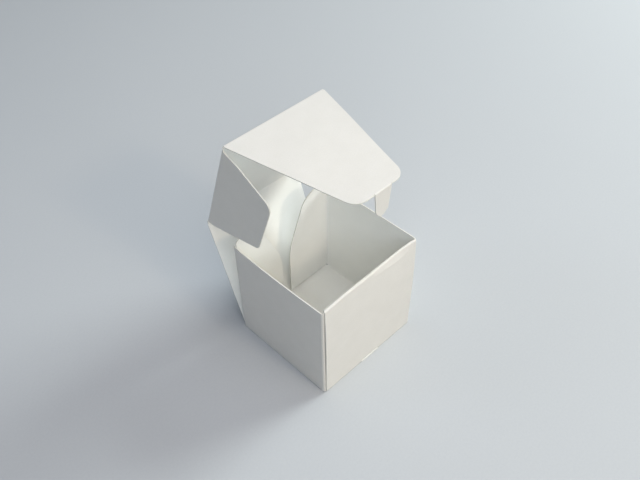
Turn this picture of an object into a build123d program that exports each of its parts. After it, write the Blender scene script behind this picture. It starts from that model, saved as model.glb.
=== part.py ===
from build123d import *
import os
from math import cos, radians, sin

# A small gift box folded from white card, standing open as in the photograph.
# Millimetres and degrees. +Z is up, -Y is the front with the tongue slot, and the origin is
# the middle of the floor's underside. Every panel is placed by its middle surface.

# The tray
box_width = 60.0
box_depth = 60.0
box_height = 60.0
card = 0.5
fold_radius = 0.6
side_gap = 0.2
crease_gap = 0.1

# The roll-over front wall and the two flaps that it traps
front_panel_inset = 0.95
front_bow = 0.45
front_bow_height = 38.0
layer_gap = 0.15
front_flap_length = 23.0
front_flap_taper = 4.0

# The tabs that hold the inner layer down
tab_width = 9.0
tab_spacing = 34.0
tab_clearance = 0.15

# The two rear flaps
rear_flap_length = 27.2
rear_flap_rise = 1.0
rear_flap_rise_end = 3.2
rear_flap_shoulder = 14.6
rear_flap_straight = 31.5
rear_flap_radius = 8.0
corner_relief_depth = 1.4
corner_relief_width = 1.4
corner_slit_depth = 3.1
rear_flap_lift = 1.2

# The back wall, the lid and the lid's side flaps
back_wall_length = 62.0
lid_length = 61.25
dust_flap_start = 2.4
dust_flap_start_reach = 2.6
dust_flap_length = 32.2
dust_flap_free_start = 20.9
dust_flap_free_end = 55.0
dust_flap_front_reach = 10.0
dust_flap_radius = 4.6

# The closing flap, its locking tongue and the slot for it
closing_flap_end_width = 28.0
closing_flap_radius = 7.0
tongue_width = 10.0
tongue_length = 14.4
tongue_taper = 1.3
tongue_chamfer = 3.0
tongue_clearance = 0.9
slot_height = 0.8
slot_lip = 0.45

# How far the box stands open: the lean from upright, then the folds between panels
back_wall_lean = 18.85
lid_fold = 39.3
closing_flap_fold = 74.8
tongue_fold = 85.0

# Worked out from the sizes above
half_card = card / 2
bend = fold_radius - half_card
crease_stop = half_card + crease_gap
floor_z = half_card
side_x = box_width / 2 - half_card
outer_y = -box_depth / 2 + half_card
front_flap_y = outer_y + card + layer_gap
inner_y = front_flap_y + card + layer_gap
hinge_y = box_depth / 2 - half_card
rear_flap_y = hinge_y - card - side_gap
front_half = box_width / 2 - front_panel_inset
slot_half = tongue_width / 2 + tongue_clearance
lid_half = side_x - half_card - side_gap
dust_flap_x = lid_half - half_card
inner_layer_half = dust_flap_x - half_card - side_gap
dust_flap_end = lid_length - fold_radius
dust_flap_shoulder = hinge_y - (front_flap_y + half_card + side_gap)
closed_lid_z = floor_z + back_wall_length
tongue_z = card + slot_height / 2
closing_flap_length = closed_lid_z - tongue_z + half_card


def panel_plane(y, z, tilt):
    """A panel's plane: X across, Y away from its crease, Z towards the inside of the box."""
    t = radians(tilt)
    return Plane(origin=(0, y, z), x_dir=(1, 0, 0), z_dir=(0, -cos(t), -sin(t)))


def next_plane(plane, length, tilt):
    """The plane of the panel that is hinged this far along the last one."""
    crease = plane.from_local_coords(Vector(0, length, 0))
    return panel_plane(crease.Y, crease.Z, tilt)


lid_tilt = lid_fold - back_wall_lean
closing_flap_tilt = lid_tilt + closing_flap_fold
wall_plane = panel_plane(hinge_y, floor_z, -back_wall_lean)
lid_plane = next_plane(wall_plane, back_wall_length, lid_tilt)
closing_flap_plane = next_plane(lid_plane, lid_length, closing_flap_tilt)
tongue_plane = next_plane(
    closing_flap_plane, closing_flap_length - half_card, closing_flap_tilt + tongue_fold
)


def along_x(section, half_length):
    """A section drawn in Y and Z, carried the same way to both sides of the middle."""
    return extrude(Plane.YZ * section, half_length, both=True)


def along_y(section, front, back):
    """A section drawn in X and Z, carried from front to back."""
    start = Plane(origin=(0, back, 0), x_dir=(1, 0, 0), z_dir=(0, -1, 0))
    return extrude(start * section, back - front)


def along_z(section, low, high):
    """A section drawn in X and Y, carried upwards."""
    return extrude(Plane.XY.offset(low) * section, high - low)


def block(x_range, y_range, z_range):
    """A plain block between two corners."""
    sizes = [r[1] - r[0] for r in (x_range, y_range, z_range)]
    middle = [(r[0] + r[1]) / 2 for r in (x_range, y_range, z_range)]
    return Pos(*middle) * Box(*sizes)


def around(middle, half):
    """The range that reaches the same way to both sides of a value."""
    return (middle - half, middle + half)


def folded(*points):
    """Card folded along a line of points, with the fold radius at each corner."""
    return trace(FilletPolyline(*points, radius=bend), line_width=card)


def floor_and_sides():
    """The floor and the two side walls, one sheet bent up along two creases."""
    section = folded((-side_x, box_height), (-side_x, floor_z), (side_x, floor_z), (side_x, box_height))
    body = along_y(section, front_flap_y + bend, rear_flap_y - bend)
    rear_strip = (rear_flap_y - fold_radius - card, hinge_y - crease_stop)
    return body + block(around(0, dust_flap_x), rear_strip, (0, card))


def front_profile():
    """The front wall: up the bowed outer layer, over the roll and down inside to the floor."""
    top = box_height - half_card
    straight = 3 * fold_radius
    foot = FilletPolyline(
        (outer_y + straight, floor_z), (outer_y, floor_z), (outer_y, straight), radius=bend
    )
    roll = FilletPolyline(
        (outer_y, top - straight),
        (outer_y, top),
        (inner_y, top),
        (inner_y, card + tab_clearance),
        radius=bend,
    )
    bow = Spline(
        foot @ 1, (outer_y - front_bow, front_bow_height), roll @ 0, tangents=[(0, 1), (0, 1)]
    )
    return trace(foot, line_width=card) + trace(bow, line_width=card) + trace(roll, line_width=card)


def front_wall():
    """The double front wall: narrower inside, where the dust flaps pass beside it, with the
    tongue slot in its bottom crease and two holding tabs."""
    wall = along_x(front_profile(), front_half)
    inside = (front_flap_y + half_card, inner_y + fold_radius)
    for side in (-1, 1):
        end = around(side * (inner_layer_half + front_half) / 2, (front_half - inner_layer_half) / 2)
        wall -= block(end, inside, (card, box_height))
    crease_front = outer_y - half_card
    slot = (crease_front - front_bow, outer_y + 2 * card)
    wall -= block(around(0, slot_half), slot, (0, card + slot_height))
    lip_half = slot_half - crease_gap
    wall += block(around(0, lip_half), (crease_front - slot_lip, slot[1] + card), (0, card))
    notch_half = slot_half + card
    notch = around(inner_y, card)
    wall -= block(around(0, notch_half), notch, (card, card + 2 * slot_height))
    for side in (-1, 1):
        tab = around(side * tab_spacing / 2, tab_width / 2)
        wall += block(tab, around(inner_y, half_card), (tab_clearance, 2 * card))
    return wall


def tab_slot(side):
    """The slot in the floor that one of the holding tabs stands in."""
    span = around(side * tab_spacing / 2, tab_width / 2 + tab_clearance)
    return block(span, around(inner_y, half_card + tab_clearance), (0, card))


def side_flap(side, crease_y, length, outline):
    """A flap bent inwards from a side wall's upright edge, cut to an outline given as
    distances in from the wall's face and heights."""
    inwards = 1 if crease_y < 0 else -1
    plan = folded(
        (side * side_x, crease_y + inwards * 2 * bend),
        (side * side_x, crease_y),
        (side * (box_width / 2 - length), crease_y),
    )
    strip = along_z(plan, 0, box_height + rear_flap_rise)
    points = [(side * (box_width / 2 - reach), z) for reach, z, _ in outline]
    edge = FilletPolyline(*points, radius=[radius for _, _, radius in outline], close=True)
    return strip & along_y(make_face(edge), crease_y - fold_radius - card, crease_y + fold_radius + card)


def front_flap(side):
    """The flap that the roll-over front wall traps, tapered towards its free end."""
    low = card + crease_gap
    high = box_height - card - crease_gap
    step = front_panel_inset - crease_gap
    outline = [
        (0, low, 0),
        (front_flap_length, low + front_flap_taper, 0),
        (front_flap_length, high - front_flap_taper, 0),
        (step, high, 0),
        (step, box_height, 0),
        (0, box_height, 0),
    ]
    return side_flap(side, front_flap_y, front_flap_length, outline)


def rear_flap(side):
    """The flap behind a side wall: relieved at the corner and slit there for the dust flap to
    pass, arched along its top and slanted towards its free end."""
    top = box_height + rear_flap_rise
    relief = box_height - corner_relief_depth
    outline = [
        (0, rear_flap_lift, 0),
        (0, relief, 0),
        (corner_relief_width, relief, 0),
        (rear_flap_rise_end, top, rear_flap_radius / 2),
        (rear_flap_shoulder, top, rear_flap_radius),
        (rear_flap_length, rear_flap_straight, 3 * rear_flap_radius),
        (rear_flap_length, rear_flap_lift, fold_radius),
    ]
    slit = around(side * dust_flap_x, half_card + side_gap)
    flap = side_flap(side, rear_flap_y, rear_flap_length, outline)
    return flap - block(slit, around(rear_flap_y, card), (box_height - corner_slit_depth, top))


def tray():
    """Floor, side walls, front wall and the four upright flaps, folded as one piece."""
    body = floor_and_sides() + front_wall()
    for side in (-1, 1):
        body -= tab_slot(side)
        body += front_flap(side) + rear_flap(side)
    return body


def sheet(outline):
    """A flat panel as thick as the card, on its own plane."""
    return extrude(outline, half_card, both=True)


def rounded_edge(half_length):
    """The rounded edge on which a panel turns, along its crease."""
    return Rot(0, 90, 0) * Cylinder(half_card, 2 * half_length)


def back_wall():
    """The back wall, free to lean back from the tray."""
    length = back_wall_length - crease_stop
    outline = Pos(0, length / 2) * Rectangle(2 * lid_half, length)
    return wall_plane * (sheet(outline) + rounded_edge(lid_half))


def lid_panel():
    """The lid, cut back along its sides where the two dust flaps turn."""
    length = lid_length - crease_stop
    outline = Pos(0, length / 2) * Rectangle(2 * lid_half, length)
    side = dust_flap_x - crease_stop
    for edge in (-1, 1):
        middle = (edge * (side + card), (dust_flap_start + dust_flap_end) / 2)
        outline -= Pos(*middle) * Rectangle(2 * card, dust_flap_end - dust_flap_start + 2 * crease_gap)
    return lid_plane * (sheet(outline) + rounded_edge(lid_half))


def dust_flap(side):
    """A side flap of the lid, tapered so that it slips inside the tray as the lid closes."""
    corner = lid_plane.from_local_coords(Vector(side * dust_flap_x, 0, 0))
    plane = Plane(origin=corner, x_dir=lid_plane.y_dir, z_dir=(1, 0, 0))
    edge = FilletPolyline(
        (dust_flap_start, 0),
        (dust_flap_start, dust_flap_start_reach),
        (dust_flap_free_start, dust_flap_length),
        (dust_flap_free_end, dust_flap_length),
        (dust_flap_shoulder, dust_flap_front_reach),
        (dust_flap_shoulder, 2 * fold_radius),
        (dust_flap_end, 0),
        radius=[0, dust_flap_radius, dust_flap_radius, dust_flap_radius, 0, fold_radius, 0],
        close=True,
    )
    half_length = (dust_flap_end - dust_flap_start) / 2
    crease = Pos(dust_flap_start + half_length, 0) * rounded_edge(half_length)
    return plane * (sheet(make_face(edge)) + crease)


def closing_flap():
    """The tapered front flap of the lid, notched where the tongue turns."""
    end = closing_flap_end_width / 2
    edge = FilletPolyline(
        (-lid_half, 0),
        (lid_half, 0),
        (end, closing_flap_length),
        (-end, closing_flap_length),
        radius=[0, 0, closing_flap_radius, closing_flap_radius],
        close=True,
    )
    notch = Pos(0, closing_flap_length) * Rectangle(
        tongue_width + 2 * crease_gap, 2 * (half_card + crease_stop)
    )
    return closing_flap_plane * (sheet(make_face(edge) - notch) + rounded_edge(lid_half))


def locking_tongue():
    """The tongue that enters the slot in the front crease, with a chamfered tip."""
    half = tongue_width / 2
    tip = half - tongue_taper
    edge = FilletPolyline(
        (-half, 0),
        (half, 0),
        (tip, tongue_length - tongue_chamfer),
        (tip - tongue_chamfer, tongue_length),
        (tongue_chamfer - tip, tongue_length),
        (-tip, tongue_length - tongue_chamfer),
        radius=[0, 0, fold_radius, fold_radius, fold_radius, fold_radius],
        close=True,
    )
    return tongue_plane * (sheet(make_face(edge)) + rounded_edge(half))


pieces = {
    "tray": tray(),
    "back_wall": back_wall(),
    "lid_panel": lid_panel(),
    "dust_flap_left": dust_flap(-1),
    "dust_flap_right": dust_flap(1),
    "closing_flap": closing_flap(),
    "locking_tongue": locking_tongue(),
}

os.makedirs("parts", exist_ok=True)
for name, shape in pieces.items():
    export_step(shape, f"parts/{name}.step")
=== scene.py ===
import bpy
import numpy as np
from mathutils import Matrix, Vector


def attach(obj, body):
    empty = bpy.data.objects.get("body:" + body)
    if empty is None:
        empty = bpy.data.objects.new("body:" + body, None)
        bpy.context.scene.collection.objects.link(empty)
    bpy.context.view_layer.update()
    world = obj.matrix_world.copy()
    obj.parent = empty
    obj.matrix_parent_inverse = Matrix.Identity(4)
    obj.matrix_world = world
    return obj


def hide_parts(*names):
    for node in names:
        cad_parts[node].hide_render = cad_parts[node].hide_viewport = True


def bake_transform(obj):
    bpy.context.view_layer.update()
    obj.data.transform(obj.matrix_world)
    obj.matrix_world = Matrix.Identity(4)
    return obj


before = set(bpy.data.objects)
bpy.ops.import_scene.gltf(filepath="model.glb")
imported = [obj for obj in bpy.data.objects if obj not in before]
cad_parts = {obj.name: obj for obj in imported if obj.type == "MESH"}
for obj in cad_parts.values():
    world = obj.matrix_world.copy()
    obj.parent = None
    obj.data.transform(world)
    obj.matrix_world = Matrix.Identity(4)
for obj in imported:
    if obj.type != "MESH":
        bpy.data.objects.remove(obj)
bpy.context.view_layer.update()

# A small gift box folded from white card, standing open on a pale studio floor.
# Sizes are in millimetres and degrees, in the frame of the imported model: +Z is up, -Y is the
# front with the tongue slot. Every panel is a sheet worked out on its middle surface and then
# given the card's thickness, and the folds are arcs of the card's own bending radius.

MM = 0.001

# The card, and how round its folds are: pressed creases are tight, and the upright corners that
# the walls' flaps are folded round are softer
card = 0.5
bend = 0.35
front_corner_bend = 0.9
rear_corner_bend = 0.6
lid_bend = 0.55
tongue_bend = 0.35
corner_spring = 0.28
fold_end_trim = 0.5
fold_end_length = 1.4
cut_edge_softness = 0.05
arc_steps = 8

# The tray
side_x = 29.75
outer_y = -29.75
front_flap_y = -29.1
inner_y = -28.45
rear_flap_y = 29.05
hinge_y = 29.75
floor_z = 0.25
wall_top = 60.0
side_tops = {-1: 58.0, 1: 59.8}
wall_bulge = 0.12
panel_half = 29.3
dust_flap_x = 29.05

# How far the sides stand out: from splay_start outwards, and by how much at the foot and the top.
# The left one's foot adds some towards the front, and its top is arched
splay_start = 24.0
splay_height = 58.0
left_foot_splay = 0.3
left_front_splay = 0.3
left_top_splay = 0.5
left_arch = 0.4
right_foot_splay = 0.6
right_lean = 0.95

# The roll-over front wall: its outer layer is a little wider than the inner one and sits a
# touch to the right
inner_half = 28.6
outer_half = 29.05
outer_shift = 0.2
slot_shift = 1.0
layer_height = 57.5
outer_bow = 0.42
outer_bow_gain = 0.003
inner_bow = 0.15
roll_radius = 0.65
roll_inside_y = -28.88
roll_narrowing = 0.4

# Its top is creased back in a shallow band towards the right, and droops at its left end
crease_least = 1.2
crease_drop = 2.3
crease_lean = 0.52
crease_sink = 0.3
crease_tightening = 0.2
left_droop = 0.9
droop_start = -14.0
droop_length = 15.0

# The slot, its lip, the notch behind it and the tabs of the inner layer
slot_half = 5.9
slot_top = 1.3
lip_half = 5.8
lip_end = -30.08
notch_half = 6.4
notch_top = 2.1
tab_slot_x = (12.35, 21.65)
tab_slot_y = (-28.85, -28.05)
tab_x = (12.5, 21.5)
inner_foot = 0.65
tab_foot = 0.15

# The trapped front flaps and the free rear flaps, by their distance in from the wall's face
front_flap_length = 23.0
front_flap_taper = 4.0
front_flap_top = 59.4
front_flap_tuck = 0.3
front_foot = 0.45
rear_flap_curl = 0.55
rear_foot = 1.2
relief_top = 58.7
relief_start = 27.8
relief_run_in = 3.0
slit_top = 56.9
slit_x = 29.5
rear_flap_edge = [
    (1.4, 58.7),
    (2.2, 60.1),
    (3.4, 60.75),
    (5.0, 60.95),
    (7.2, 61.0),
    (10.6, 60.4),
    (13.7, 58.8),
    (16.2, 56.2),
    (18.6, 51.4),
    (21.0, 45.9),
    (24.4, 38.1),
    (26.1, 33.6),
    (26.9, 29.0),
    (27.2, 22.0),
]

# The moving panels
back_wall_length = 62.0
lid_length = 61.25
closing_flap_length = 61.6
closing_flap_end_half = 14.0
closing_flap_radius = 7.0
closing_flap_skew = 0.7
tongue_hinge = 61.35
tongue_shift = 0.9
tongue_slit = 5.1
tongue_length = 14.4
dust_flap_start = 2.4
dust_flap_end = 60.65
dust_flap_length = 32.2
dust_flap_curl = 0.5
back_wall_tilt = -18.85
lid_tilt = 20.45
closing_flap_tilt = 95.25
tongue_tilt = 180.25


def linear(hex_colour):
    """An sRGB hex colour as the linear red, green, blue and alpha that shaders take."""
    srgb = np.array([int(hex_colour[i : i + 2], 16) for i in (1, 3, 5)]) / 255
    rgb = np.where(srgb <= 0.04045, srgb / 12.92, ((srgb + 0.055) / 1.055) ** 2.4)
    return (*rgb.tolist(), 1.0)


def node(tree, kind, inputs=None, **settings):
    """Adds a node with its settings. An input is given by name or number, as a value or as the
    output socket that it is linked to."""
    made = tree.nodes.new(kind)
    for name, value in settings.items():
        setattr(made, name, value)
    for name, value in (inputs or {}).items():
        if isinstance(value, bpy.types.NodeSocket):
            tree.links.new(value, made.inputs[name])
        else:
            made.inputs[name].default_value = value
    return made


# Sheets of card


def rounded(corners, radii, steps=8):
    """A line through the corners, rounded at each inner one: its arc touches both runs at the
    radius times the tangent of half the turn. The last corner only gives a direction."""
    corner = np.array(corners, float)
    radius = np.array(radii, float)[:, None]
    before = corner[:-2] - corner[1:-1]
    after = corner[2:] - corner[1:-1]
    before /= np.linalg.norm(before, axis=1)[:, None]
    after /= np.linalg.norm(after, axis=1)[:, None]
    half_turn = (np.pi - np.arccos(np.clip((before * after).sum(1), -1, 1)))[:, None] / 2
    middle = before + after
    middle /= np.linalg.norm(middle, axis=1)[:, None]
    centre = corner[1:-1] + middle * radius / np.cos(half_turn)
    sweep = np.linspace(-1, 1, steps)[None, :, None] * half_turn[:, None, :]
    across = (after - before) / np.linalg.norm(after - before, axis=1)[:, None]
    arcs = centre[:, None, :] + radius[:, None, :] * (
        np.sin(sweep) * across[:, None, :] - np.cos(sweep) * middle[:, None, :]
    )
    return np.vstack([corner[:1], arcs.reshape(-1, 2)])


def smooth_line(points, count):
    """A curve through the points: cubic pieces by chord length, with slopes taken from the
    neighbours on both sides."""
    p = np.array(points, float)
    chord = np.concatenate([[0], np.cumsum(np.linalg.norm(np.diff(p, axis=0), axis=1))])
    slope = np.gradient(p, chord, axis=0)
    s = np.linspace(0, chord[-1], count)
    k = np.clip(np.searchsorted(chord, s, side="right") - 1, 0, len(p) - 2)
    h = (chord[k + 1] - chord[k])[:, None]
    t = ((s - chord[k])[:, None]) / h
    return (
        (1 + 2 * t) * (1 - t) ** 2 * p[k]
        + t * (1 - t) ** 2 * h * slope[k]
        + t**2 * (3 - 2 * t) * p[k + 1]
        + t**2 * (t - 1) * h * slope[k + 1]
    )


def spaced(low, high, step, *also):
    """Values from low to high about a step apart, with a close one beside each end so that the
    folds shade cleanly, and any others that a cut needs."""
    count = max(2, int(round((high - low) / step)) + 1)
    near = 0.004 * (high - low)
    values = [np.linspace(low, high, count), [low + near, high - near], list(also)]
    return np.unique(np.round(np.concatenate(values), 5))


def wave(a, b, seed):
    """A slow unevenness within one either way: three cosine ripples of different directions and
    lengths, added and divided by their lengths' sum."""
    rng = np.random.default_rng(seed)
    total = np.zeros(np.broadcast(a, b).shape)
    for length in (71.0, 43.0, 27.0):
        turn, phase = rng.uniform(0, 2 * np.pi, 2)
        run = a * np.cos(turn) + b * np.sin(turn)
        total = total + length * np.cos(2 * np.pi * run / length + phase)
    return total / 141.0


def ease(t):
    """Rises smoothly from 0 to 1 as t does: three times its square less twice its cube."""
    t = np.clip(t, 0, 1)
    return t * t * (3 - 2 * t)


def arch(t):
    """A half-wave over the run from 0 to 1: the sine of pi times t, and nothing outside it."""
    return np.sin(np.pi * np.clip(t, 0, 1))


def trimmed(half, past):
    """A panel's half width this far past a fold: less by a quarter of an ellipse at the fold."""
    share = 1 - np.clip(past / fold_end_length, 0, 1)
    return half - fold_end_trim * (1 - np.sqrt(1 - share**2))


def between(value, limits):
    """Where a value lies within two limits."""
    return (value > limits[0]) & (value < limits[1])


def patch(points, flat, cut=None, flip=False):
    """A grid of points as quads, without the cells that are cut away. Flat is each point's place
    on the unfolded card."""
    rows, columns = points.shape[:2]
    corner = (np.arange(rows - 1)[:, None] * columns + np.arange(columns - 1)).ravel()
    quads = np.stack([corner, corner + 1, corner + columns + 1, corner + columns], axis=1)
    if cut is not None:
        quads = quads[~np.broadcast_to(cut, (rows - 1, columns - 1)).ravel()]
    if flip:
        quads = quads[:, ::-1]
    return points.reshape(-1, 3), flat.reshape(-1, 2), quads


def card_sheet(name, patches):
    """One object from grids that share their border points: equal points are merged, and the
    sheet is thickened to the card's on both sides of its middle surface."""
    starts = np.cumsum([0] + [len(p[0]) for p in patches[:-1]])
    points = np.vstack([p[0] for p in patches])
    flat = np.vstack([p[1] for p in patches])
    quads = np.vstack([p[2] + start for p, start in zip(patches, starts)])
    _, first, same = np.unique(np.round(points, 3), axis=0, return_index=True, return_inverse=True)
    quads = same.reshape(-1)[quads]
    used, quads = np.unique(quads, return_inverse=True)
    quads = quads.reshape(-1, 4)
    points, flat = points[first][used], flat[first][used]
    mesh = bpy.data.meshes.new(name)
    mesh.from_pydata((points * MM).tolist(), [], quads.tolist())
    corners = np.zeros(len(mesh.loops), np.int32)
    mesh.loops.foreach_get("vertex_index", corners)
    layer = mesh.uv_layers.new(name="blank")
    layer.data.foreach_set("uv", (flat[corners] / 100).astype(np.float32).ravel())
    mesh.polygons.foreach_set("use_smooth", np.ones(len(mesh.polygons), bool))
    for material in board:
        mesh.materials.append(material)
    sheet = bpy.data.objects.new(name, mesh)
    bpy.context.scene.collection.objects.link(sheet)
    thick = sheet.modifiers.new("card_thickness", "SOLIDIFY")
    thick.thickness = card * MM
    thick.offset = 0
    thick.use_even_offset = True
    thick.material_offset = 1
    thick.material_offset_rim = 2
    soft = sheet.modifiers.new("cut_edge", "BEVEL")
    soft.width = cut_edge_softness * MM
    soft.segments = 2
    soft.limit_method = "ANGLE"
    soft.angle_limit = np.radians(50)
    soft.harden_normals = True
    return sheet


class Panel:
    """A moving panel's plane: x across, v away from its crease, n towards the box's inside."""

    def __init__(self, y, z, tilt):
        self.y, self.z, self.tilt = y, z, tilt
        self.sin, self.cos = np.sin(np.radians(tilt)), np.cos(np.radians(tilt))

    def place(self, x, v, n):
        """Points of the plane in the shared frame, as one array."""
        x, v, n = np.broadcast_arrays(x, v, n)
        y = self.y - v * self.sin - n * self.cos
        z = self.z + v * self.cos - n * self.sin
        return np.stack([x, y, z], axis=-1)

    def next(self, length, tilt):
        """The panel hinged this far along this one."""
        _, y, z = self.place(0.0, length, 0.0)
        return Panel(float(y), float(z), tilt)


floor_panel = Panel(hinge_y - 60, floor_z, -90.0)
back_wall_panel = Panel(hinge_y, floor_z, back_wall_tilt)
lid = back_wall_panel.next(back_wall_length, lid_tilt)
closing_flap = lid.next(lid_length, closing_flap_tilt)
tongue = closing_flap.next(tongue_hinge, tongue_tilt)


def set_back(first, second, radius=lid_bend):
    """How far from a fold's corner its arc starts: the bend times the tangent of half the fold."""
    return radius * np.tan(np.radians(second.tilt - first.tilt) / 2)


def hinged_sheet(first, length, second, across, v, n, radius=lid_bend):
    """A panel with its fold: the fold's arc in the first panel's plane, then the second panel's
    rows. Across holds x for every row and column of the second panel; its first row gives the
    fold's width."""
    turn = np.radians(np.linspace(0, second.tilt - first.tilt, arc_steps))[:-1, None]
    start = set_back(first, second, radius)
    past, inwards = radius * np.sin(turn) - start, radius * (1 - np.cos(turn))
    arc = first.place(across[:1], length + past, inwards)
    points = np.concatenate([arc, second.place(across, v, n)])
    flat_v = np.concatenate([radius * turn - start + 0 * across[:1], v + 0 * across])
    flat_x = np.concatenate([across[:1] + 0 * turn, across])
    return points, np.stack([flat_x, flat_v], axis=-1)


def hinged_card(name, node_name, patches, first, length, second, before, after, radius=lid_bend):
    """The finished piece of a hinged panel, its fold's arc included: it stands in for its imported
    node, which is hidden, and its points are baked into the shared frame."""
    sheet = card_sheet(name, patches)
    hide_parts(node_name)
    start = set_back(first, second, radius)
    a = Vector(first.place(0.0, length - start, 0.0) * MM)
    b = Vector(second.place(0.0, start, 0.0) * MM)
    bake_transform(sheet)


# Finishes


def card_finish(name, colour, shade, tooth, roughness):
    """Bleached board: clouded where the fibres lie thicker, about 9 mm apart, with a fine tooth
    of 0.6 mm that a coating fills more or less, and long rubbed streaks that are a little
    smoother."""
    material = bpy.data.materials.new(name)
    material.use_nodes = True
    tree = material.node_tree
    shader = tree.nodes["Principled BSDF"]
    place = node(tree, "ShaderNodeUVMap", uv_map="blank")
    to_mm = {0: place.outputs[0], 1: (100, 100, 100)}
    mm = node(tree, "ShaderNodeVectorMath", to_mm, operation="MULTIPLY").outputs[0]
    clouds = {"Vector": mm, "Scale": 1 / 9, "Detail": 5, "Roughness": 0.6}
    cloud = node(tree, "ShaderNodeTexNoise", clouds)
    fibres = {"Vector": mm, "Scale": 1 / 0.6, "Detail": 3, "Roughness": 0.7}
    fibre = node(tree, "ShaderNodeTexNoise", fibres)
    sum_of = {0: cloud.outputs[0], 1: 0.7, 2: fibre.outputs[0]}
    mixed = node(tree, "ShaderNodeMath", sum_of, operation="MULTIPLY_ADD")
    spread = {"Value": mixed.outputs[0], "From Min": 0.55, "From Max": 1.15}
    band = node(tree, "ShaderNodeMapRange", spread)
    blend = {0: band.outputs[0], 6: linear(shade), 7: linear(colour)}
    tint = node(tree, "ShaderNodeMix", blend, data_type="RGBA")
    along = {"Vector": mm, "Rotation": (0, 0, 0.5), "Scale": (0.05, 1.2, 1)}
    streak_place = node(tree, "ShaderNodeMapping", along)
    streaks = {"Vector": streak_place.outputs[0], "Scale": 1.0, "Detail": 3}
    streak = node(tree, "ShaderNodeTexNoise", streaks)
    rubbing = {"Value": streak.outputs[0], "From Min": 0.62, "From Max": 0.78}
    rubbing |= {"To Min": roughness, "To Max": roughness - 0.12}
    rubbed = node(tree, "ShaderNodeMapRange", rubbing)
    relief = {"Height": fibre.outputs[0], "Strength": tooth, "Distance": 0.00004}
    bump = node(tree, "ShaderNodeBump", relief)
    tree.links.new(tint.outputs[2], shader.inputs["Base Color"])
    tree.links.new(rubbed.outputs[0], shader.inputs["Roughness"])
    tree.links.new(bump.outputs[0], shader.inputs["Normal"])
    shader.inputs["IOR"].default_value = 1.46
    return material


# Coated board is smooth outside, its uncoated back is duller, and the cut edge shows raw fibre.
# The back's colour is also painted much lighter than the face's: painted light that makes the
# inside of the box read brighter than its outside.
board = (
    card_finish("coated_white_board_face", "#dcd9d3", "#d5d2cb", 0.25, 0.5),
    card_finish("uncoated_board_back_with_painted_light", "#f7f7f4", "#f2f2ee", 0.5, 0.72),
    card_finish("die_cut_board_edge", "#dedcd5", "#d6d4cc", 0.9, 0.8),
)


# The tray: floor, side walls, front wall and the four upright flaps, folded from one sheet

special_x = (lip_half, slot_half, notch_half, *tab_slot_x, *tab_x)
front_u = spaced(-inner_half, inner_half, 1.6, *special_x, *[-x for x in special_x])
wall_ends = (front_flap_y + front_corner_bend, rear_flap_y - rear_corner_bend)
relief_y = np.linspace(relief_start, wall_ends[1], 5)[:-1]
wall_y = spaced(*wall_ends, 2.0, tab_slot_y[1], *relief_y)
quarter = np.radians(np.linspace(0, 90, arc_steps))


def outer_x(u):
    """The outer layer's place across for each column: a little wider than the inner layer and
    shifted, and the slot's middle shifted more, by the square of one less the share squared."""
    share = u / inner_half
    return outer_shift + share * outer_half + slot_shift * (1 - share**2) ** 2


def crease_share(x):
    """How strongly the front's top is creased back: it sets in left of the middle, is full
    towards the right and fades at the corner."""
    return ease((x + 6) / 23) * (1 - 0.85 * ease((x - 21) / 8.5))


def grid(x, y, z):
    """Points from arrays that broadcast to one grid."""
    return np.stack(np.broadcast_arrays(x, y, z), axis=-1)


def cell_middles(values):
    """The middles between neighbouring values."""
    return (values[:-1] + values[1:]) / 2


def floor_patches():
    """The floor with both bottom folds: quarter arcs from the floor up to the side walls."""
    flat_half = side_x - bend
    wider = [-flat_half, -dust_flap_x, dust_flap_x, flat_half]
    middle = np.unique(np.concatenate([front_u, wider]))
    arc_x = flat_half + bend * np.sin(quarter[1:])
    arc_z = floor_z + bend * (1 - np.cos(quarter[1:]))
    x = np.concatenate([-arc_x[::-1], middle, arc_x])
    z = np.concatenate([arc_z[::-1], np.full(len(middle), floor_z), arc_z])
    run = flat_half + bend * quarter[1:]
    u = np.concatenate([-run[::-1], middle, run])
    across = np.abs(cell_middles(x))[None, :]
    cut = between(across, tab_slot_x) & between(cell_middles(wall_y)[:, None], tab_slot_y)
    column = wall_y[:, None]
    points, flat = grid(x[None, :], column, z[None, :]), grid(u[None, :], column, 0)[..., :2]
    patches = [patch(points, flat, cut, flip=True)]
    lip_u = front_u[np.abs(front_u) <= lip_half]
    front_x = np.vstack([outer_x(front_u), front_u, front_u])
    front_rows = np.array([[outer_y + bend], [tab_slot_y[0]], [wall_ends[0]]])
    over_tabs = between(np.abs(cell_middles(front_u))[None, :], tab_slot_x)
    front_cut = over_tabs & np.array([[False], [True]])
    rear_x = middle[np.abs(middle) <= dust_flap_x]
    rear_rows = np.array([[wall_ends[1]], [hinge_y - set_back(floor_panel, back_wall_panel)]])
    lip_rows = np.array([[lip_end], [outer_y + bend]])
    strips = (
        (front_x, front_rows, front_cut),
        (rear_x[None, :], rear_rows, None),
        (outer_x(lip_u)[None, :], lip_rows, None),
    )
    for xs, ys, strip_cut in strips:
        points = grid(xs, ys, floor_z)
        patches.append(patch(points, points[..., :2], strip_cut, flip=True))
    return patches


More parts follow.
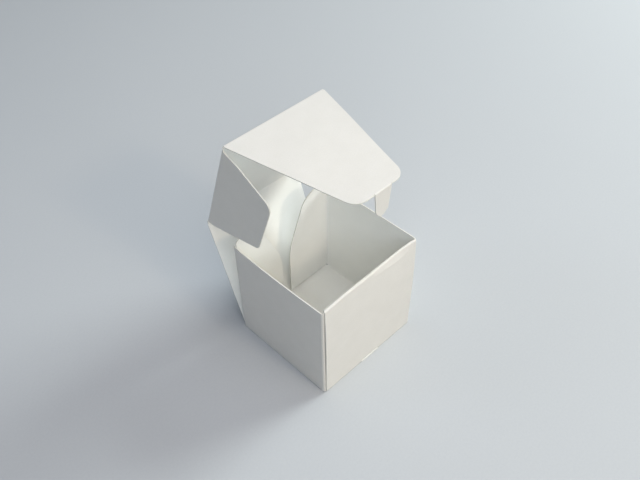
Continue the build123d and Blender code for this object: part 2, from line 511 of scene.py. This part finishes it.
def front_wall_patch():
    """The double front wall as one sheet: from the floor up the slightly bowed outer layer, along
    the creased band to the roll, over it and down inside to the floor. The bow is a sine
    half-wave by height. The band touches the roll's arc where a line from the crease does. Also
    gives how far each point follows the outer layer's place across: fully outside, not inside."""
    x_out = outer_x(front_u)[None, :]
    lean = crease_share(x_out)
    radius = roll_radius - crease_tightening * lean
    roll_y = outer_y + roll_radius + crease_lean * lean
    droop = left_droop * ease((droop_start - x_out) / droop_length)
    roll_z = wall_top - card / 2 - radius - crease_sink * lean - droop
    crease_z = roll_z - crease_least - crease_drop * lean
    foot_z = floor_z + bend
    arc = quarter[:, None]
    rise = spaced(0, 1, 0.04, (slot_top - foot_z) / layer_height)[1:, None]
    bow = (outer_bow + outer_bow_gain * x_out) * np.sin(np.pi * rise**1.25)
    reach = np.hypot(roll_y - outer_y, roll_z - crease_z)
    slope = np.arctan2(roll_z - crease_z, roll_y - outer_y) + np.arcsin(radius / reach)
    run_up = np.sqrt(reach**2 - radius**2) * np.array([0.06, 0.35, 0.65, 0.94])[:, None]
    over = (slope + np.pi / 2) * np.linspace(1, 0, 14)[:, None]
    down = spaced(0, 1, 0.04, 1 - (notch_top - inner_foot) / layer_height)[1:, None]
    inner_top = roll_y + radius
    inner_line = inner_top + down * (inner_y - inner_top) + inner_bow * np.sin(np.pi * down)
    arc_y = roll_y + radius * np.cos(over)
    arc_share = ease((roll_inside_y - arc_y) / roll_narrowing)
    rows = [
        (1, outer_y + bend * (1 - np.sin(arc)), floor_z + bend * (1 - np.cos(arc))),
        (1, outer_y - bow, foot_z + rise * (crease_z - foot_z)),
        (1, outer_y + run_up * np.cos(slope), crease_z + run_up * np.sin(slope)),
        (arc_share, arc_y, roll_z + radius * np.sin(over)),
        (0, inner_line, roll_z + down * (inner_foot - roll_z)),
        (0, np.array([[inner_y]]), np.array([[tab_foot]])),
    ]
    blank = 0 * x_out
    y = np.vstack([row[1] + blank for row in rows])
    z = np.vstack([row[2] + blank for row in rows])
    share = np.vstack([row[0] + 0 * row[2] + blank for row in rows])
    x = front_u[None, :] + share * (x_out - front_u[None, :])
    middle = len(front_u) // 2
    run = np.concatenate([[0], np.cumsum(np.hypot(np.diff(y[:, middle]), np.diff(z[:, middle])))])
    across = np.abs(cell_middles(front_u))[None, :]
    height = cell_middles(z)[:, :-1]
    row = np.arange(len(z) - 1)[:, None]
    inside = row > len(z) // 2
    slot = (across < slot_half) & (height < slot_top) & ~inside
    notch = (across < notch_half) & (height < notch_top) & inside
    tabs = (row == len(z) - 2) & ~between(across, tab_x)
    flat = grid(front_u[None, :], outer_y + bend - run[:, None], 0)[..., :2]
    return patch(grid(x, y, z), flat, slot | notch | tabs), share.ravel()


def wall_patch(side):
    """A side wall with the flaps at both its ends, as one sheet bent round a plan: the trapped
    front flap, a quarter arc, the wall, a quarter arc and the rear flap. Each plan point has its
    own lowest and highest edge, and the rows share the height between them. The wall bulges by
    the slow ripples, faded out along its length by a half-wave. The rear flap curls in and the
    front flap's top is tucked in by smooth steps, and the round front corner springs forward."""
    edge = smooth_line(rear_flap_edge, 44)
    front_bend_end, rear_bend_end = 30 - side_x + front_corner_bend, 30 - side_x + rear_corner_bend
    front_reach = np.append(np.linspace(front_flap_length, 1.6, 12), [1.35, front_bend_end])
    rear_reach = np.concatenate([[rear_bend_end, 1.38], edge[:, 0]])
    arc = quarter[1:-1]
    side_top = side_tops[side]
    front_x = side_x - front_corner_bend * (1 - np.sin(arc))
    rear_x = side_x - rear_corner_bend * (1 - np.cos(arc))
    wall_x = np.full(len(wall_y), side_x)
    plan_x = np.concatenate([30 - front_reach, front_x, wall_x, rear_x, 30 - rear_reach])
    front_arc_y = wall_ends[0] - front_corner_bend * np.cos(arc)
    rear_arc_y = wall_ends[1] + rear_corner_bend * np.sin(arc)
    ends = (np.full(len(front_reach), front_flap_y), np.full(len(rear_reach), rear_flap_y))
    plan_y = np.concatenate([ends[0], front_arc_y, wall_y, rear_arc_y, ends[1]])
    drop_start = relief_start - relief_run_in
    drop = (wall_y - drop_start) / (wall_ends[1] - drop_start)
    front_high = front_flap_top - front_flap_taper * (front_reach - 1) / (front_flap_length - 1)
    front_high = np.minimum(front_high, side_top + 0.6 * (front_reach - front_reach[-1]))
    wall_high = side_top + (relief_top - side_top) * ease(drop)
    rear_high = np.where(rear_x < slit_x, slit_top, relief_top)
    front_arc_high = np.full(len(arc), side_top)
    slit = [slit_top, slit_top]
    high = np.concatenate([front_high, front_arc_high, wall_high, rear_high, slit, edge[:, 1]])
    low = np.concatenate(
        [
            front_foot + front_flap_taper * front_reach / front_flap_length,
            np.linspace(front_foot, floor_z + bend, len(arc) + 2)[1:-1],
            np.full(len(wall_y), floor_z + bend),
            np.linspace(floor_z + bend, rear_foot, len(arc) + 2)[1:-1],
            np.full(len(rear_reach), rear_foot),
        ]
    )
    z = low + spaced(0, 1, 0.028)[:, None] * (high - low)
    run = np.concatenate([[0], np.cumsum(np.hypot(np.diff(plan_x), np.diff(plan_y)))])
    run += wall_y[0] - run[len(front_reach) + len(arc)]
    along = np.clip((plan_y - wall_ends[0]) / (wall_ends[1] - wall_ends[0]), 0, 1)
    on_wall = np.where(plan_x > side_x - 0.01, arch(along), 0)
    bulge = wall_bulge * wave(plan_y[None, :], z, 3 + side) * on_wall * arch(z / 75)
    curl = rear_flap_curl * ease((28 - plan_x) / 26) * ease(z / 40) * (plan_y > wall_ends[1])
    tucked = front_flap_tuck * crease_share(side * plan_x) * ease((z - 50) / 9)
    tucked = tucked * (plan_y < wall_ends[0])
    round_corner = np.clip((wall_ends[0] - plan_y) / front_corner_bend, 0, 1)
    sprung = corner_spring * round_corner * (1 - ease((29.2 - plan_x) / 0.5))
    points = grid(side * (plan_x + bulge), plan_y - curl + tucked - sprung, z)
    flat = grid(side * (side_x + z), run[None, :], 0)[..., :2]
    return patch(points, flat, flip=side < 0)


def splayed(sheet_patch, share=1.0):
    """The tray's sides stand out a little, as the photographed box's do: the outermost 6 mm move
    out by an amount that runs from the foot's to the top's with height. Share is how far each
    point follows, which is not at all on the front wall's inner layer."""
    points, flat, quads = sheet_patch
    x, y, z = points.T
    along = np.clip((y + 30) / 60, 0, 1)
    rise = np.clip(z / splay_height, 0, 1)
    left_foot = left_foot_splay + left_front_splay * (1 - along)
    left_top = left_top_splay + left_arch * arch(along)
    left = left_foot * (1 - rise) + left_top * rise
    right = right_foot_splay + right_lean * rise
    outermost = ease((np.abs(x) - splay_start) / (side_x - splay_start))
    out = np.where(x < 0, -left, right) * outermost * share
    return np.stack([x + out, y, z], axis=1), flat, quads


tray_patches = [splayed(one) for one in floor_patches() + [wall_patch(-1), wall_patch(1)]]
tray_sheet = card_sheet("tray_card", tray_patches + [splayed(*front_wall_patch())])
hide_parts("tray")
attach(tray_sheet, "tray")


# The moving panels, each one sheet with the fold that joins it to the panel before


def back_wall_card():
    """The back wall, with its width eased in at the fold at its top. It is uneven by the slow
    ripples, faded out at both folds by a half-wave along its length."""
    start = set_back(floor_panel, back_wall_panel)
    end = back_wall_length - set_back(back_wall_panel, lid)
    v = spaced(start, end, 2.0, end - 0.5, end - 1)[:, None]
    half = trimmed(panel_half, end - v)
    x = spaced(-1, 1, 0.07)[None, :] * half
    n = 0.25 * wave(x, v, 5) * arch((v - start) / (end - start))
    points, flat = hinged_sheet(floor_panel, 60.0, back_wall_panel, x, v, n)
    patches = [patch(points, flat, flip=True)]
    fold = (floor_panel, 60.0, back_wall_panel)
    hinged_card("back_wall_card", "back_wall", patches, *fold, "tray", "back_wall")


def lid_card():
    """The lid: its sides step back to the dust flaps' folds between its two pairs of corners. It
    is uneven by the slow ripples, faded out by a half-wave along it and a cosine across."""
    start, end = set_back(back_wall_panel, lid), lid_length - set_back(lid, closing_flap)
    low, high = dust_flap_start, dust_flap_end - 0.35
    v = spaced(start, end, 2.0, low, low + 0.03, high, high + 0.03, start + 0.5, start + 1)[:, None]
    stepped = between(v, (low + 0.01, high + 0.01))
    half = trimmed(panel_half, np.minimum(v - start, end - v))
    half = np.where(stepped, dust_flap_x - lid_bend, half)
    x = spaced(-1, 1, 0.07)[None, :] * half
    inside = np.cos(np.pi / 2 * np.clip(np.abs(x) / 28.4, 0, 1))
    n = 0.2 * wave(x, v, 8) * arch((v - start) / (end - start)) * inside
    points, flat = hinged_sheet(back_wall_panel, back_wall_length, lid, x, v, n)
    patches = [patch(points, flat, flip=True)]
    fold = (back_wall_panel, back_wall_length, lid)
    hinged_card("lid_panel_card", "lid_panel", patches, *fold, "back_wall", "lid_panel")


def dust_flap_card(side, name):
    """A dust flap: a quarter arc down from the lid's side, then a sheet whose lower and upper
    edges are rounded lines, given as places along the lid and reaches away from it. It curls in
    by a smooth step away from its fold, with slow ripples, but stays straight near the front."""
    reach_end = dust_flap_length
    corners = [(dust_flap_start, 0), (2.4, 2.6), (20.9, reach_end), (55, reach_end)]
    lower = rounded(corners, [4.6, 4.6])
    corners = [(dust_flap_end, 0), (58.45, 1.2), (58.45, 10), (55, reach_end), (20.9, reach_end)]
    upper = rounded(corners, [0.6, 4.6, 4.6])
    reach = np.concatenate([lower[:, 1], upper[:, 1], spaced(lid_bend, reach_end, 2.0)])
    reach = np.unique(np.round(reach, 3))
    reach = reach[reach >= lid_bend]
    start = np.interp(reach, lower[:, 1], lower[:, 0])[:, None]
    end = np.interp(reach, upper[:, 1], upper[:, 0])[:, None]
    along = start + spaced(0, 1, 0.045)[None, :] * (end - start)
    down = reach[:, None]
    clear_of_front = 1 - ease((along - 47) / 9)
    curl = dust_flap_curl * ease((down - lid_bend) / 32)
    curl = curl + wall_bulge * wave(down, along, 11 + side) * ease(down / 12)
    curl = curl * clear_of_front
    turn = quarter[:-1, None]
    fold_x, fold_n = dust_flap_x - lid_bend * (1 - np.sin(turn)), lid_bend * (1 - np.cos(turn))
    arc = lid.place(side * fold_x, along[:1] + 0 * turn, fold_n)
    points = np.concatenate([arc, lid.place(side * (dust_flap_x - curl), along, down)])
    run = np.concatenate([lid_bend * turn, lid_bend * (quarter[-1] - 1) + down])
    both = np.concatenate([along[:1] + 0 * turn, along])
    flat = grid(side * (dust_flap_x - lid_bend + run), both, 0)[..., :2]
    sheet = card_sheet(name + "_card", [patch(points, flat, flip=side < 0)])
    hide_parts(name)
    a = Vector(lid.place(side * (dust_flap_x - lid_bend), 30.0, 0.0) * MM)
    b = Vector(lid.place(side * dust_flap_x, 30.0, lid_bend) * MM)
    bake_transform(sheet)


def closing_flap_card():
    """The closing flap: straight slanted sides into rounded corners, drifting a little to the
    right, with a notch of the tongue's width where the tongue's fold starts. It is uneven by the
    slow ripples, which grow by a smooth step from its fold."""
    start = set_back(lid, closing_flap)
    notch = tongue_hinge - set_back(closing_flap, tongue, tongue_bend)
    end = closing_flap_length
    corners = [(0, panel_half), (end, closing_flap_end_half), (end, 0)]
    edge = rounded(corners, [closing_flap_radius], 16)
    straight = spaced(start, edge[1, 0], 2.0, start + 0.5, start + 1)
    v = np.unique(np.round(np.concatenate([edge[:, 0], straight, [notch]]), 3))
    v = v[v >= start][:, None]
    half = trimmed(np.interp(v, edge[:, 0], edge[:, 1]), v - start)
    right = tongue_slit + tongue_shift
    left = tongue_slit - tongue_shift
    inner = np.linspace(-left, right, 7)[None, :] + 0 * v
    share = np.linspace(0, 1, 12)[None, 1:]
    left_of = -left - share[:, ::-1] * (half - left)
    right_of = right + share * (half - right)
    x = np.concatenate([left_of, inner, right_of], axis=1)
    n = 0.22 * wave(x, v, 21) * ease((v - start) / 20)
    drift = closing_flap_skew * v / closing_flap_length
    points, flat = hinged_sheet(lid, lid_length, closing_flap, x + drift, v, n)
    columns = np.arange(x.shape[1] - 1)[None, :]
    cut = between(columns, (10.5, 16.5)) & (cell_middles(flat[..., 1])[:, :-1] > notch)
    patches = [patch(points, flat, cut, flip=True)]
    fold = (lid, lid_length, closing_flap)
    hinged_card("closing_flap_card", "closing_flap", patches, *fold, "lid_panel", "closing_flap")


def tongue_card():
    """The locking tongue: tapered sides into a blunt tip, its left side cut back further. It curls
    a little by a smooth step along its length."""
    start = set_back(closing_flap, tongue, tongue_bend)
    left = rounded([(0, -4.8), (11.2, -3.6), (tongue_length, -0.6), (tongue_length, 0)], [3.6, 1.4])
    right = rounded([(0, 5.0), (12.0, 3.9), (tongue_length, 0.9), (tongue_length, 0)], [1.4, 1.0])
    v = np.concatenate([left[:, 0], right[:, 0], spaced(start, 12.0, 1.0)])
    v = np.unique(np.round(v, 3))
    v = v[(v >= start) & (v < tongue_length - 0.01)][:, None]
    low, high = np.interp(v, left[:, 0], left[:, 1]), np.interp(v, right[:, 0], right[:, 1])
    x = closing_flap_skew + tongue_shift + low + np.linspace(0, 1, 9)[None, :] * (high - low)
    n = 0.2 * ease(v / 14) + 0 * x
    points, flat = hinged_sheet(closing_flap, tongue_hinge, tongue, x, v, n, tongue_bend)
    patches = [patch(points, flat, flip=True)]
    fold = (closing_flap, tongue_hinge, tongue)
    bodies = ("closing_flap", "locking_tongue")
    hinged_card("locking_tongue_card", "locking_tongue", patches, *fold, *bodies, tongue_bend)


back_wall_card()
lid_card()
dust_flap_card(-1, "dust_flap_left")
dust_flap_card(1, "dust_flap_right")
closing_flap_card()
tongue_card()


# The studio: floor, light and camera


def studio_floor():
    """A wide flat floor of matt pale paper, with a faint grain of about 1 mm."""
    far = 2.5
    mesh = bpy.data.meshes.new("studio_floor")
    corners = [(-far, -far, 0), (far, -far, 0), (far, far, 0), (-far, far, 0)]
    mesh.from_pydata(corners, [], [(0, 1, 2, 3)])
    floor = bpy.data.objects.new("studio_floor", mesh)
    bpy.context.scene.collection.objects.link(floor)
    material = bpy.data.materials.new("matt_pale_studio_paper")
    material.use_nodes = True
    tree = material.node_tree
    shader = tree.nodes["Principled BSDF"]
    place = node(tree, "ShaderNodeTexCoord")
    grains = {"Vector": place.outputs["Object"], "Scale": 900.0, "Detail": 2}
    grain = node(tree, "ShaderNodeTexNoise", grains)
    blend = {0: grain.outputs[0], 6: linear("#b3b6b9"), 7: linear("#babdbf")}
    tint = node(tree, "ShaderNodeMix", blend, data_type="RGBA")
    tree.links.new(tint.outputs[2], shader.inputs["Base Color"])
    shader.inputs["Roughness"].default_value = 0.9
    mesh.materials.append(material)


def soft_light(name, towards, distance, size, energy, colour):
    """A round softbox that faces the box from a direction and a distance in metres."""
    light = bpy.data.lights.new(name, "AREA")
    light.shape = "DISK"
    light.size = size
    light.energy = energy
    light.color = linear(colour)[:3]
    lamp = bpy.data.objects.new(name, light)
    direction = Vector(towards).normalized()
    lamp.location = direction * distance
    lamp.rotation_mode = "QUATERNION"
    lamp.rotation_quaternion = direction.to_track_quat("Z", "Y")
    bpy.context.scene.collection.objects.link(lamp)


def studio_light():
    """A weak warm lamp from the front that draws the shadows, wide softboxes in front, above and
    on both sides, a faint one behind that picks out the folds, and an even cool sky."""
    soft_light("key_lamp", (0.07, -1.0, 0.845), 1.1, 0.13, 1.6, "#ffeccb")
    soft_light("front_softbox", (0.0, -0.7, 1.0), 1.2, 0.9, 4.2, "#fff3e6")
    soft_light("low_softbox", (0.0, -1.0, 0.28), 1.4, 0.6, 1.9, "#fff8f2")
    soft_light("overhead_softbox", (0.05, 0.0, 1.0), 1.1, 0.7, 3.2, "#e3ebff")
    soft_light("right_softbox", (1.0, -0.2, 0.5), 1.4, 0.7, 20.0, "#f8fffc")
    soft_light("left_softbox", (-0.8, -1.0, 0.9), 1.4, 0.7, 4.7, "#e8f3ff")
    soft_light("rim_softbox", (-0.9, 1.0, 0.8), 1.4, 0.5, 1.6, "#e6f0ff")
    world = bpy.data.worlds.new("soft_sky")
    world.use_nodes = True
    sky = world.node_tree.nodes["Background"]
    sky.inputs["Color"].default_value = linear("#dfe8f2")
    sky.inputs["Strength"].default_value = 0.15
    bpy.context.scene.world = world
    bpy.context.scene.view_settings.view_transform = "Standard"


def photo_camera():
    """The camera that took the photograph: its place, aim and roll, as fitted to the box's
    corners."""
    turn, drop, roll = np.radians([46.4052, 44.7183, -1.6714])
    ahead = np.array([np.cos(turn) * np.cos(drop), np.sin(turn) * np.cos(drop), -np.sin(drop)])
    right = np.array([np.sin(turn), -np.cos(turn), 0.0])
    up = np.cross(right, ahead)
    matrix = np.eye(4)
    matrix[:3, 0] = np.cos(roll) * right + np.sin(roll) * up
    matrix[:3, 1] = -np.sin(roll) * right + np.cos(roll) * up
    matrix[:3, 2] = -ahead
    matrix[:3, 3] = np.array([-170.736, -176.766, 304.428]) * MM
    data = bpy.data.cameras.new("photo_camera")
    data.sensor_width = 36.0
    data.lens = 42.02
    data.clip_start = 0.01
    camera = bpy.data.objects.new("photo_camera", data)
    camera.matrix_world = Matrix(matrix.tolist())
    bpy.context.scene.collection.objects.link(camera)
    bpy.context.scene.camera = camera


studio_floor()
studio_light()
photo_camera()
